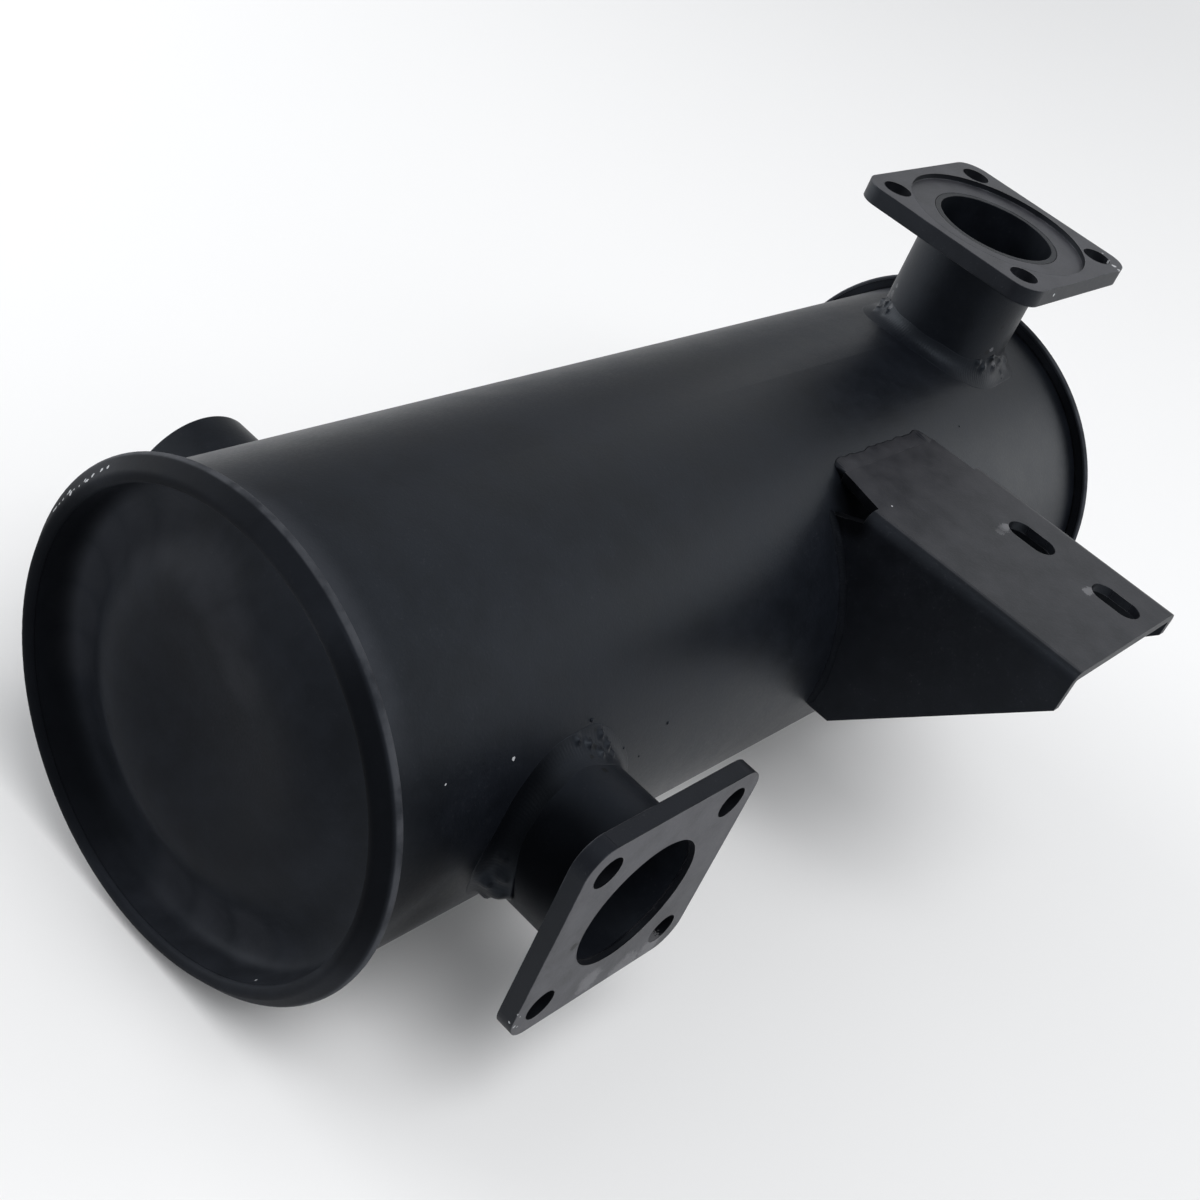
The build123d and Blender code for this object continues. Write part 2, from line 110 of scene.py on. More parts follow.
def step_up(tree, value, start, end):
    """A smooth step: 0 below start, 1 above end; falling instead where end is below start."""
    node = tree.nodes.new("ShaderNodeMapRange")
    node.interpolation_type = "SMOOTHSTEP"
    node.inputs["From Min"].default_value = min(start, end)
    node.inputs["From Max"].default_value = max(start, end)
    node.inputs["To Min"].default_value = 0.0 if start < end else 1.0
    node.inputs["To Max"].default_value = 1.0 if start < end else 0.0
    tree.links.new(value, node.inputs["Value"])
    return node.outputs["Result"]


def calc(tree, kind, first, second):
    """One sum, product or other step between two values, each a socket or a plain number."""
    node = tree.nodes.new("ShaderNodeMath")
    node.operation = kind
    for socket, value in zip(node.inputs, (first, second)):
        if isinstance(value, (int, float)):
            socket.default_value = value
        else:
            tree.links.new(value, socket)
    return node.outputs["Value"]


def times(tree, first, second):
    """The product of two values."""
    return calc(tree, "MULTIPLY", first, second)


def weighted(tree, *pairs):
    """The sum of values, each multiplied by its weight."""
    total = 0.0
    for value, weight in pairs:
        total = calc(tree, "ADD", times(tree, value, weight), total)
    return total


def mixed(tree, amount, first, second):
    """A colour between first and second, each a socket or a plain colour, by an amount from 0 to 1."""
    node = tree.nodes.new("ShaderNodeMix")
    node.data_type = "RGBA"
    tree.links.new(amount, node.inputs["Factor"])
    for socket, value in ((node.inputs["A"], first), (node.inputs["B"], second)):
        if isinstance(value, tuple):
            socket.default_value = (*value, 1.0)
        else:
            tree.links.new(value, socket)
    return node.outputs["Result"]


def vector_step(tree, kind, vector, other=None):
    """One step on a vector, such as its length, or with another vector, its distance or product."""
    node = tree.nodes.new("ShaderNodeVectorMath")
    node.operation = kind
    tree.links.new(vector, node.inputs[0])
    if isinstance(other, tuple):
        node.inputs[1].default_value = other
    elif other is not None:
        tree.links.new(other, node.inputs[1])
    return node.outputs["Vector" if kind == "NORMALIZE" else "Value"]


def spots(tree, marks):
    """1 inside the marks and 0 outside, each a ball (x, y, z, radius) with a ragged edge."""
    place = object_place(tree)
    ragged = calc(tree, "SUBTRACT", noise(tree, place, RAGGED_CELLS, 2.0), 0.5)
    union = 0.0
    for *centre, radius in marks:
        reach = vector_step(tree, "DISTANCE", place, tuple(centre))
        share = weighted(tree, (reach, 1.0 / radius), (ragged, 1.6))
        union = calc(tree, "MAXIMUM", step_up(tree, share, 1.05, 0.85), union)
    return union


def soft_balls(tree, marks):
    """1 near the middles of the marks, each a ball (x, y, z, radius), fading to 0 at their radii."""
    place = object_place(tree)
    union = 0.0
    for *centre, radius in marks:
        reach = vector_step(tree, "DISTANCE", place, tuple(centre))
        union = calc(tree, "MAXIMUM", step_up(tree, reach, radius, 0.35 * radius), union)
    return union


def axis_offset(tree):
    """The way from the shell's axis to the point, square to the axis; and how long it is."""
    place = object_place(tree, (0.0, 1.0, 1.0), (0.0, 0.0, SHELL_AXIS_Z))
    return place, vector_step(tree, "LENGTH", place)


def toward(tree, vector, direction):
    """The cosine between a vector and a direction."""
    unit = vector_step(tree, "NORMALIZE", vector)
    return vector_step(tree, "DOT_PRODUCT", unit, direction)


def facing(tree, direction):
    """1 where the surface looks along a direction of the object's own axes, 0 elsewhere."""
    normal = tree.nodes.new("ShaderNodeTexCoord").outputs["Normal"]
    return step_up(tree, toward(tree, normal, direction), 0.95, 0.99)


def end_band(tree, full_x, last_x, direction, start, full):
    """1 from one end of the shell to full_x, fading to 0 at last_x, and only towards a direction:
    the cosine to it counts from start, and fully from full."""
    offset, _ = axis_offset(tree)
    split = tree.nodes.new("ShaderNodeSeparateXYZ")
    tree.links.new(object_place(tree), split.inputs[0])
    band = step_up(tree, split.outputs["X"], last_x, full_x)
    return times(tree, band, step_up(tree, toward(tree, offset, direction), start, full))


def painted_shade_and_matte(tree, rings, shaded, open_side):
    """How much painted shade darkens the paint, with a rougher, duller coat there: the most of the rings
    round the shell's axis and of the shaded balls, which leave faces on the open side alone. A ring is
    (inner, outer, softness, amount), and lies all round, or also (direction, start, full), and lies
    only towards that direction."""
    share = 0.0
    offset, reach = axis_offset(tree) if rings else (None, None)
    for inner, outer, soft, amount, *side in rings:
        rise = step_up(tree, reach, inner - soft, inner + soft)
        fall = step_up(tree, reach, outer + soft, outer - soft)
        ring = times(tree, times(tree, rise, fall), amount)
        if side:
            ring = times(tree, ring, step_up(tree, toward(tree, offset, side[0]), *side[1:]))
        share = calc(tree, "MAXIMUM", ring, share)
    if shaded:
        balls = soft_balls(tree, shaded)
        if open_side is not None:
            balls = times(tree, balls, calc(tree, "SUBTRACT", 1.0, facing(tree, open_side)))
        share = calc(tree, "MAXIMUM", balls, share)
    return share


def edge_lean(tree, width):
    """How far a normal softened over width leans off the true one, 0 on flats; and that normal."""
    bevel = tree.nodes.new("ShaderNodeBevel")
    bevel.samples = 6
    bevel.inputs["Radius"].default_value = width
    softened = bevel.outputs["Normal"]
    true_normal = tree.nodes.new("ShaderNodeNewGeometry").outputs["Normal"]
    cosine = vector_step(tree, "DOT_PRODUCT", softened, true_normal)
    return calc(tree, "SUBTRACT", 1.0, cosine), softened


def bumped(tree, shader, height, distance, under=None):
    """Gives the shader a surface whose height in metres is height times distance."""
    bump = tree.nodes.new("ShaderNodeBump")
    bump.inputs["Strength"].default_value = 1.0
    bump.inputs["Distance"].default_value = distance
    tree.links.new(height, bump.inputs["Height"])
    if under is not None:
        tree.links.new(under, bump.inputs["Normal"])
    tree.links.new(bump.outputs["Normal"], shader.inputs["Normal"])


def lighter_on_side(tree, paint, clouds, side, tone):
    """The paint with a lighter tone laid over it in clouds, on the faces that look one way."""
    share = calc(tree, "ADD", times(tree, step_up(tree, clouds, 0.30, 0.70), 0.75), 0.35)
    return mixed(tree, times(tree, share, facing(tree, side)), paint, tone)


def with_painted_reflection(tree, paint, clouds, paler, pale_end):
    """The paint with painted reflection, a paler tone, in soft balls and, where pale_end is given, by one
    end.
    """
    reflection_share = soft_balls(tree, paler)
    if pale_end is not None:
        reflection_share = calc(tree, "MAXIMUM", reflection_share, end_band(tree, *pale_end))
    cloudy = calc(tree, "ADD", times(tree, step_up(tree, clouds, 0.30, 0.60), 0.35), 0.30)
    return mixed(tree, times(tree, reflection_share, cloudy), paint, PAINTED_REFLECTION_TONE)


def dusted(tree, paint, spray, cloud, dust):
    """The paint with dust that clings to the tops of the spray's grain, in clouds."""
    settled = times(tree, step_up(tree, spray, 0.58, 0.78), step_up(tree, cloud, 0.35, 0.70))
    return mixed(tree, times(tree, settled, dust), paint, DUST_TONE)


def crest_painted_highlight(tree, paint, cloud, crest):
    """The paint with a broken painted highlight, a paler line, further from the shell's axis than crest."""
    line = step_up(tree, axis_offset(tree)[1], crest, crest + 0.0006)
    line = times(tree, line, calc(tree, "ADD", step_up(tree, cloud, 0.34, 0.62), 0.35))
    return mixed(tree, times(tree, line, 0.45), paint, CREST_HIGHLIGHT_TONE)


def edge_worn(tree, paint, cloud, lean, wear):
    """The paint worn through along sharp edges, where the softened normal leans off, in clouds."""
    broken = times(tree, lean, step_up(tree, cloud, 0.38, 0.60))
    return mixed(tree, times(tree, step_up(tree, broken, 0.05, 0.22), wear), paint, WORN_TONE)


def scuffed(tree, paint, cloud, scuffs):
    """The paint with cloudy grey scuffs."""
    dulled = calc(tree, "ADD", times(tree, step_up(tree, cloud, 0.34, 0.62), 0.45), 0.20)
    return mixed(tree, times(tree, spots(tree, scuffs), dulled), paint, SCUFF_TONE)


def heat_paint(name, colour, roughness, specular, grain, dust=0.08, edge=0.0, wear=0.0,
               lighter_side=None, lighter_side_tone=None, paler=(), pale_end=None, shaded=(),
               shade_and_matte_rings=(), crest=None, flecks=(), scuffs=(), pits=()):
    """Satin heat paint of a colour, roughness and gloss, with grain metres of spray texture and
    settled dust. What else is given is laid on top: edges worn over a width, a lighter tone on the
    faces that look one way, painted reflection as a paler tone, painted shade with a rougher, duller
    coat in rings and shaded places, a painted highlight along a crest, and flecks, scuffs and pits,
    all of whose places are balls (x, y, z, radius) in metres."""
    material, tree, shader = new_material(name)
    place = object_place(tree)
    drift = noise(tree, place, DRIFT_CELLS, 3.0)
    cloud = noise(tree, place, CLOUD_CELLS, 5.0, 0.6)
    spray = noise(tree, place, SPRAY_CELLS, 3.0, 0.6)
    fine = noise(tree, place, FINE_CELLS, 2.0)
    tone = weighted(tree, (drift, 0.55), (cloud, 0.45))
    darker = tuple(0.74 * c for c in colour)
    lighter = tuple(1.45 * c for c in colour)
    paint = mixed(tree, step_up(tree, tone, 0.34, 0.66), darker, lighter)
    # a lighter tone on the faces that look along lighter_side
    if lighter_side is not None:
        clouds = weighted(tree, (drift, 0.4), (cloud, 0.6))
        paint = lighter_on_side(tree, paint, clouds, lighter_side, lighter_side_tone)
    # paler and pale_end: painted reflection, a paler tone where the paint would mirror bright surroundings
    if paler:
        paint = with_painted_reflection(tree, paint, tone, paler, pale_end)
    paint = dusted(tree, paint, spray, cloud, dust)
    rough = calc(tree, "ADD", weighted(tree, (tone, 0.26), (spray, 0.14)), roughness - 0.20)
    # painted shade: in the rings and shaded balls the colour falls towards a fifth, the gloss is cut and
    # the coat is rougher
    if shade_and_matte_rings or shaded:
        shade_and_matte = painted_shade_and_matte(tree, shade_and_matte_rings, shaded, lighter_side)
        rough = calc(tree, "ADD", rough, times(tree, shade_and_matte, 0.14))
        paint = mixed(tree, times(tree, shade_and_matte, 0.85), paint, tuple(0.2 * c for c in colour))
        gloss = calc(tree, "ADD", times(tree, shade_and_matte, -0.75 * specular), specular)
        tree.links.new(gloss, shader.inputs["Specular IOR Level"])
    else:
        shader.inputs["Specular IOR Level"].default_value = specular
    # a painted highlight along the rims' crests
    if crest is not None:
        paint = crest_painted_highlight(tree, paint, cloud, crest)
    softened = None
    if edge:
        lean, softened = edge_lean(tree, edge)
        paint = edge_worn(tree, paint, cloud, lean, wear)
    if scuffs:
        paint = scuffed(tree, paint, cloud, scuffs)
    if pits:
        paint = mixed(tree, spots(tree, pits), paint, PIT_TONE)
    if flecks:
        paint = mixed(tree, spots(tree, flecks), paint, BARE_FLECK)
    tree.links.new(paint, shader.inputs["Base Color"])
    tree.links.new(rough, shader.inputs["Roughness"])
    shader.inputs["Specular Tint"].default_value = (*PAINT_GLINT, 1.0)
    height = weighted(tree, (spray, 0.7), (fine, 0.3), (cloud, 1.2))
    bumped(tree, shader, height, grain, softened)
    return material


def dress(material, *names):
    """Puts a material on every slot of the named CAD nodes."""
    for name in names:
        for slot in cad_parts[name].material_slots:
            slot.material = material


shell_paint = heat_paint(
    "shell_heat_paint", (0.0044, 0.0053, 0.0077), 0.42, 0.24, 0.00005,
    flecks=[(-0.35753, -0.08153, -0.11002, 0.0008), (-0.35745, -0.08225, -0.11250, 0.0004),
            (-0.38917, -0.08057, -0.10791, 0.0004)],
    # paler and pale_end: painted reflection by the inlet's far rim and along the outlet's end of the shell
    paler=[(0.0450, 0.0580, -0.0790, 0.0200), (0.0330, 0.0530, -0.0755, 0.0200)],
    pale_end=(-0.4090, -0.3980, (0.0, -0.30, 0.954), 0.66, 0.97),
    # shaded: painted shade behind the bracket's relief notch and on the outlet's side near the outlet's end
    shaded=[(-0.1450, -0.0566, -0.0781, 0.0130), (-0.1500, -0.0630, -0.0837, 0.0110),
            (-0.3990, -0.1110, -0.1445, 0.0380), (-0.3850, -0.1090, -0.1675, 0.0380)],
)
dress(shell_paint, "shell")

# --- shell's seam weld ----------------------------------------------------------------------------
# The lengthways machine weld that closes the rolled shell, 5 mm wide and 1 mm proud, underneath and
# away from the outlet. Its metal froze in close ripples as the torch moved, and is painted over.
SEAM_TURN = np.radians(-60.0)
SEAM_RUN_X = (-0.4080, 0.0470)
SEAM_HALF_WIDTH = 0.0025
SEAM_FULLNESS = 2.4
SEAM_RIPPLE = 0.00006
RIPPLE_PITCH = 0.0013
TOE_SINK = 0.0001             # how far a bead's toes reach under the faces that they meet
ROOT_SINK = 0.0006            # how far under its corner a bead is closed
PAINT_BLACK = (0.0050, 0.0060, 0.0086)


def grid_object(name, rings, closed_path):
    """A mesh from rings of points (rings, points round, 3); open paths get a fan at each end."""
    count, around = rings.shape[:2]
    points = rings.reshape(-1, 3)
    index = np.arange(count * around).reshape(count, around)
    onward = np.roll(index, -1, axis=0) if closed_path else index[1:]
    here = index if closed_path else index[:-1]
    faces = np.stack([here, np.roll(here, -1, axis=1), np.roll(onward, -1, axis=1), onward], axis=-1)
    faces = faces.reshape(-1, 4).tolist()
    if not closed_path:
        points = np.concatenate([points, rings[0].mean(axis=0)[None], rings[-1].mean(axis=0)[None]])
        first, last = count * around, count * around + 1
        faces += [[first, int(b), int(a)] for a, b in zip(index[0], np.roll(index[0], -1))]
        faces += [[last, int(a), int(b)] for a, b in zip(index[-1], np.roll(index[-1], -1))]
    mesh = bpy.data.meshes.new(name)
    mesh.from_pydata(points.tolist(), [], faces)
    mesh.polygons.foreach_set("use_smooth", np.ones(len(mesh.polygons), dtype=bool))
    mesh.update()
    piece = bpy.data.objects.new(name, mesh)
    bpy.context.scene.collection.objects.link(piece)
    return piece


def facing_out(piece):
    """Turns every face of a closed piece outwards."""
    bpy.context.view_layer.objects.active = piece
    piece.select_set(True)
    bpy.ops.object.mode_set(mode="EDIT")
    bpy.ops.mesh.select_all(action="SELECT")
    bpy.ops.mesh.normals_make_consistent(inside=False)
    bpy.ops.object.mode_set(mode="OBJECT")
    piece.select_set(False)
    return piece


def wander(run, pitch, seed):
    """A smooth random line along run, from -1 to 1: four sines of about that pitch, seeded phases."""
    rng = np.random.default_rng(seed)
    waves = [np.sin(2 * np.pi * (run / (pitch * k) + rng.random())) for k in (1.0, 1.63, 0.61, 2.7)]
    return sum(waves) / 4.0


def bead_rings(toe_a, toe_b, corner, fullness, run, ripple, lumps=(), face_points=15):
    """Rings of a weld bead that fills the corner between two faces, from toe a on one to toe b on the
    other. Across, P(s) = (1-s)^2 A + 2s(1-s) C + s^2 B, its control C being corner + fullness *
    ((A+B)/2 - corner): at 0 it runs out into both faces, at 1 it is flat. Outwards are added ripples,
    ripple * sin(2 pi (run/pitch - 0.8 (2s-1)^2)) * sin(pi s), and for each lump (at, s, long, wide,
    high), high * exp(-((run-at)/long)^2 - ((s-s0)/wide)^2). It is closed a little under the corner."""
    s = np.linspace(0.0, 1.0, face_points)[None, :, None]
    middle = (toe_a + toe_b) / 2
    outward = middle - corner
    outward = (outward / np.maximum(np.linalg.norm(outward, axis=1, keepdims=True), 1e-9))[:, None]
    control = (corner + fullness * (middle - corner))[:, None]
    face = (1 - s) ** 2 * toe_a[:, None] + 2 * s * (1 - s) * control + s**2 * toe_b[:, None]
    phase = 2 * np.pi * (run[:, None, None] / RIPPLE_PITCH - 0.8 * (2 * s - 1) ** 2)
    rise = ripple * np.sin(phase) * np.sin(np.pi * s)
    for at, across, length, width, high in lumps:
        along = (run[:, None, None] - at) / length
        rise = rise + high * np.exp(-(along**2) - ((s - across) / width) ** 2)
    face = face + outward * rise
    return np.concatenate([face, (corner - ROOT_SINK * outward[:, 0])[:, None]], axis=1)


def painted_bead(name, rings, closed_path, node, paint):
    """A painted bead that rides on the body and stands for its CAD node."""
    piece = facing_out(grid_object(name, rings, closed_path))
    piece.data.materials.append(paint)
    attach(piece, "root")
    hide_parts(node)


def shell_point(x, turn, out):
    """Points on the shell at stations x, turned so far round from +Y towards +Z, out from its skin."""
    radius = SHELL_RADIUS + out
    return np.stack(
        np.broadcast_arrays(x, radius * np.cos(turn), SHELL_AXIS_Z + radius * np.sin(turn)), axis=-1
    )


def seam_rings():
    """Rings of the seam's bead along the shell, its width wandering a little and its ends rounded."""
    run = np.linspace(0.0, SEAM_RUN_X[1] - SEAM_RUN_X[0], 2400)
    x = SEAM_RUN_X[0] + run
    fade = np.clip(np.minimum(run, run[-1] - run) / 0.006, 0.05, 1.0) ** 0.5
    half_turn = SEAM_HALF_WIDTH / SHELL_RADIUS * (0.92 + 0.08 * wander(run, 0.013, 3)) * fade
    toe_a = shell_point(x, SEAM_TURN - half_turn, -TOE_SINK)
    toe_b = shell_point(x, SEAM_TURN + half_turn, -TOE_SINK)
    corner = shell_point(x, SEAM_TURN + 0 * x, -ROOT_SINK)
    return bead_rings(toe_a, toe_b, corner, SEAM_FULLNESS, run, SEAM_RIPPLE)


weld_paint = heat_paint(
    "weld_heat_paint", PAINT_BLACK, 0.45, 0.20, 0.00009, dust=0.10,
    pits=[(-0.3160, -0.0838, -0.1126, 0.0009), (-0.3190, -0.0870, -0.1163, 0.0013),
          (-0.3225, -0.0895, -0.1172, 0.0009), (0.0010, -0.0303, -0.0537, 0.0013),
          (-0.0043, -0.0309, -0.0541, 0.0015)],
    # shaded: painted shade on the weld beside the outlet pipe
    shaded=[(-0.3560, -0.0900, -0.1270, 0.0320)],
    scuffs=[(-0.0137, 0.0286, -0.0592, 0.0018), (-0.0247, 0.0179, -0.0524, 0.0014),
            (-0.0195, 0.0245, -0.0545, 0.0014), (-0.0010, -0.0315, -0.0560, 0.0013)],
)
painted_bead("seam_weld_bead", seam_rings(), False, "shell_seam_weld", weld_paint)

# --- end caps -------------------------------------------------------------------------------------
# Each cap is pressed from 1.5 mm sheet: a dished disc with one raised ring, a deep recess wall, and
# a rim rolled over the shell's lip and squeezed shut. The rolled rims take the knocks, so paint is
# chipped to grey in a few places on the outlet's end. A painted highlight runs along the rims' crests,
# painted shade darkens the rims, the recess and the dish's middle, and a painted reflection lies on
# the dish.
CREST_RADIUS = 0.0951         # from the shell's axis, where the painted highlight along a rim's crest begins
CHIP_COUNT = 14
CHIP_TURNS = (21.0, 41.0)     # degrees round from +Y towards +Z
CHIP_REACH = 0.0921           # of the chips' middles from the shell's axis
RIM_FRONT_X = -0.4198         # of the outlet rim's leaning front, at RIM_FRONT_REACH from the axis
RIM_FRONT_REACH = 0.0914


def rim_chips():
    """Chips on the outlet rim's front, each a ball (x, y, z, radius): evenly spread round the axis,
    and scattered a little round it and up and down the rim, whose front leans at 45 degrees."""
    rng = np.random.default_rng(5)
    turns = np.radians(np.linspace(*CHIP_TURNS, CHIP_COUNT) + rng.normal(0.0, 0.6, CHIP_COUNT))
    chips = []
    for turn in turns:
        reach = CHIP_REACH + rng.normal(0.0, 0.0006)
        x = RIM_FRONT_X + (reach - RIM_FRONT_REACH)
        centre = (x, reach * np.cos(turn), SHELL_AXIS_Z + reach * np.sin(turn))
        chips.append((*centre, rng.uniform(0.0004, 0.0009)))
    return chips


cap_paint = heat_paint(
    "cap_heat_paint", (0.0122, 0.0138, 0.0180), 0.60, 0.14, 0.00006, edge=0.0012, wear=0.20,
    flecks=rim_chips() + [(-0.4182, 0.0667, -0.0831, 0.0007), (-0.4150, -0.0572, -0.2131, 0.0005)],
    # paler: painted reflection, a pale crescent round the dish's raised ring
    paler=[(-0.4035, 0.0765, -0.1780, 0.0140), (-0.4030, 0.0790, -0.1600, 0.0150),
           (-0.4030, 0.0790, -0.1413, 0.0150), (-0.4035, 0.0710, -0.1240, 0.0160),
           (-0.4040, 0.0599, -0.1097, 0.0170), (-0.4056, 0.0427, -0.0961, 0.0180),
           (-0.4090, 0.0300, -0.0930, 0.0170), (-0.4105, 0.0160, -0.0950, 0.0170),
           (-0.4130, 0.0020, -0.1030, 0.0160), (-0.4135, -0.0080, -0.1150, 0.0150),
           (-0.4030, 0.0000, -0.2260, 0.0160), (-0.4030, -0.0200, -0.2230, 0.0160),
           (-0.4030, -0.0400, -0.2140, 0.0150)],
    # painted shade with a duller coat: the dish's middle, the rims all round, and the rims and recess on
    # some sides
    shade_and_matte_rings=[
        (-0.0100, 0.0560, 0.0140, 0.55),
        (0.0870, 0.0950, 0.0006, 0.45),
        (0.0872, 0.0958, 0.0010, 0.75, (0.0, 0.150, 0.989), 0.55, 0.97),
        (0.0866, 0.0950, 0.0008, 1.00, (0.0, -0.906, 0.423), 0.50, 0.97),
        (0.0840, 0.0956, 0.0030, 0.95, (0.0, 0.960, -0.280), 0.25, 0.85),
    ],
    crest=CREST_RADIUS,
)
dress(cap_paint, "inlet_end_cap", "outlet_end_cap")

# --- baffles and gas tubes ------------------------------------------------------------------------
# Inside, two pressed baffles split the shell into three chambers, joined by perforated tubes of
# aluminised steel. Nothing of them is painted: they show only down the three bores, dull with soot.
SOOT_TONE = (0.010, 0.0095, 0.009)


def sooty_steel(name, colour):
    """Aluminised steel under soot: a grey metal that soot darkens in clouds and streaks."""
    material, tree, shader = new_material(name)
    place = object_place(tree)
    cloud = noise(tree, place, 55.0, 5.0, 0.62)
    grit = noise(tree, place, 900.0, 3.0, 0.6)
    soot = step_up(tree, weighted(tree, (cloud, 0.8), (grit, 0.2)), 0.30, 0.62)
    rough = weighted(tree, (soot, 0.35), (grit, 0.15), (cloud, 0.4))
    bare = calc(tree, "SUBTRACT", 0.9, times(tree, soot, 0.9))
    tree.links.new(mixed(tree, soot, colour, SOOT_TONE), shader.inputs["Base Color"])
    tree.links.new(rough, shader.inputs["Roughness"])
    tree.links.new(bare, shader.inputs["Metallic"])
    bumped(tree, shader, weighted(tree, (grit, 1.0), (cloud, 0.6)), 0.00006)
    return material


inner_steel = sooty_steel("inner_steel_soot", (0.09, 0.086, 0.08))
dress(inner_steel, "inlet_baffle", "outlet_baffle", "upper_transfer_tube", "lower_transfer_tube")
dress(inner_steel, "inlet_diffuser", "inlet_diffuser_cap", "outlet_collector", "outlet_collector_cap")

# --- inlet pipe and flange ------------------------------------------------------------------------
# A 60.3 mm pipe stands on the shell behind the far rim, and carries a square 8 mm plate, cut by
# flame and faced, with a turned gasket recess and four bolt holes. Welded round its foot by hand.
PIPE_RADIUS = 0.03015
PIPE_POINTS = 1500            # round the pipe, in a bead
SADDLE_LEG = 0.0076
SADDLE_FULLNESS = 0.20
SADDLE_RIPPLE = 0.000025
SEAL_LEG = 0.0020
SEAL_FULLNESS = 0.7
SEAL_RIPPLE = 0.00006
UPRIGHT = [[1, 0, 0], [0, 1, 0], [0, 0, 1]]
INLET_X = 0.0
INLET_PLATE_BACK = 0.1400     # from the shell's axis
INLET_SWELLS = [(134, 16, 0.35, 0.1), (266, 17, 0.55, 0.0), (301, 9, 0.1, 0.3)]
INLET_LUMPS = [
    (122, 0.25, 0.0020, 0.11, 0.0020), (131, 0.50, 0.0015, 0.09, 0.0016), (136, 0.22, 0.0013, 0.08, 0.0020),
    (145, 0.34, 0.0014, 0.09, 0.0014), (248, 0.16, 0.0013, 0.07, 0.0016), (255, 0.32, 0.0016, 0.09, 0.0017),
    (263, 0.13, 0.0013, 0.07, 0.0019), (271, 0.36, 0.0017, 0.09, 0.0014), (281, 0.18, 0.0013, 0.07, 0.0019),
    (289, 0.62, 0.0014, 0.09, 0.0010), (303, 0.50, 0.0018, 0.12, 0.0016), (338, 0.50, 0.0024, 0.16, 0.0006),
]
inlet_flange_paint = heat_paint(
    "inlet_flange_heat_paint", (0.0068, 0.0072, 0.0094), 0.46, 0.24, 0.00005,
    dust=0.14, edge=0.0008, wear=0.40,
    lighter_side=(0.0, 0.0, 1.0), lighter_side_tone=(0.046, 0.046, 0.053),
    flecks=[(0.0380, -0.0449, 0.0, 0.0012), (0.0408, -0.0405, -0.0009, 0.0010),
            (0.0372, -0.0481, 0.0, 0.0008), (-0.0253, -0.0485, -0.0037, 0.0008),
            (0.0440, -0.0350, -0.0005, 0.0007)],
)
pipe_paint = heat_paint(
    "pipe_heat_paint", PAINT_BLACK, 0.44, 0.17, 0.00006, edge=0.0006, wear=0.35,
    pits=[(-0.0084, -0.0290, -0.0360, 0.0011), (-0.0092, -0.0287, -0.0500, 0.0014),
          (0.0020, -0.0300, -0.0475, 0.0010), (-0.3219, -0.0959, -0.1183, 0.0013)],
    # shaded: painted shade on the outlet pipe near its foot
    shaded=[(-0.3550, -0.1060, -0.1320, 0.0300)],
    scuffs=[(0.0056, -0.0296, -0.0478, 0.0013), (-0.0073, -0.0293, -0.0484, 0.0012),
            (-0.0208, 0.0219, -0.0485, 0.0018), (-0.0212, 0.0214, -0.0440, 0.0012)],
)
dress(inlet_flange_paint, "inlet_flange")
dress(pipe_paint, "inlet_pipe")


def carried(rings, turn_out, x_station):
    """Rings drawn about a pipe that stands upright on the shell's axis, turned and moved along it."""
    return rings @ np.array(turn_out, dtype=float).T + np.array([x_station, 0.0, SHELL_AXIS_Z])


def saddle_rings(turn_out, x_station, swells, lumps, seed, radius=PIPE_RADIUS):
    """Rings of the weld where a pipe meets the shell, for a turn t round the pipe, zero along +X.
    The pipe's wall is (r cos t, r sin t); the shell's skin there is at height sqrt(R^2 - (r sin t)^2).
    Toe a climbs the pipe by the leg, toe b lies on the skin a leg further out, and each swell (at,
    width, up, out) in degrees adds up or out times exp(-((t - at) / width)^2). Each lump is placed by
    its own angle."""
    t = np.linspace(0.0, 2 * np.pi, PIPE_POINTS, endpoint=False)
    run = t * radius
    climb = 1.0 + 0.10 * wander(run, 2 * np.pi * radius / 7, seed)
    spread = 1.0 + 0.10 * wander(run, 2 * np.pi * radius / 6, seed + 1)
    for at, width, up, out in swells:
        away = np.angle(np.exp(1j * (t - np.radians(at)))) / np.radians(width)
        climb = climb + up * np.exp(-(away**2))
        spread = spread + out * np.exp(-(away**2))

    def on_skin(reach, sink=0.0):
        side = reach * np.sin(t)
        return np.stack([reach * np.cos(t), side, np.sqrt(SHELL_RADIUS**2 - side**2) - sink], axis=-1)

    foot = on_skin(np.full_like(t, radius - TOE_SINK))
    toe_a = foot + np.stack([0 * t, 0 * t, SADDLE_LEG * climb], axis=-1)
    toe_b = on_skin(radius + SADDLE_LEG * spread, TOE_SINK)
    placed = [(np.radians(at) * radius, *rest) for at, *rest in lumps]
    rings = bead_rings(toe_a, toe_b, foot, SADDLE_FULLNESS, run, SADDLE_RIPPLE, placed)
    return carried(rings, turn_out, x_station)


def seal_rings(turn_out, x_station, back_height, seed):
    """Rings of the thin bead behind a flange, round the corner of the pipe and the plate's back."""
    t = np.linspace(0.0, 2 * np.pi, PIPE_POINTS, endpoint=False)
    run = t * PIPE_RADIUS
    leg = SEAL_LEG * (1.0 + 0.18 * wander(run, 2 * np.pi * PIPE_RADIUS / 9, seed))
    ring = np.stack([np.cos(t), np.sin(t), 0 * t], axis=-1)
    rise = np.array([0.0, 0.0, 1.0])
    toe_a = ring * (PIPE_RADIUS - TOE_SINK) + rise * (back_height - leg)[:, None]
    toe_b = ring * (PIPE_RADIUS + leg)[:, None] + rise * (back_height + TOE_SINK)
    corner = ring * (PIPE_RADIUS - TOE_SINK) + rise * (back_height + TOE_SINK)
    rings = bead_rings(toe_a, toe_b, corner, SEAL_FULLNESS, run, SEAL_RIPPLE, face_points=8)
    return carried(rings, turn_out, x_station)


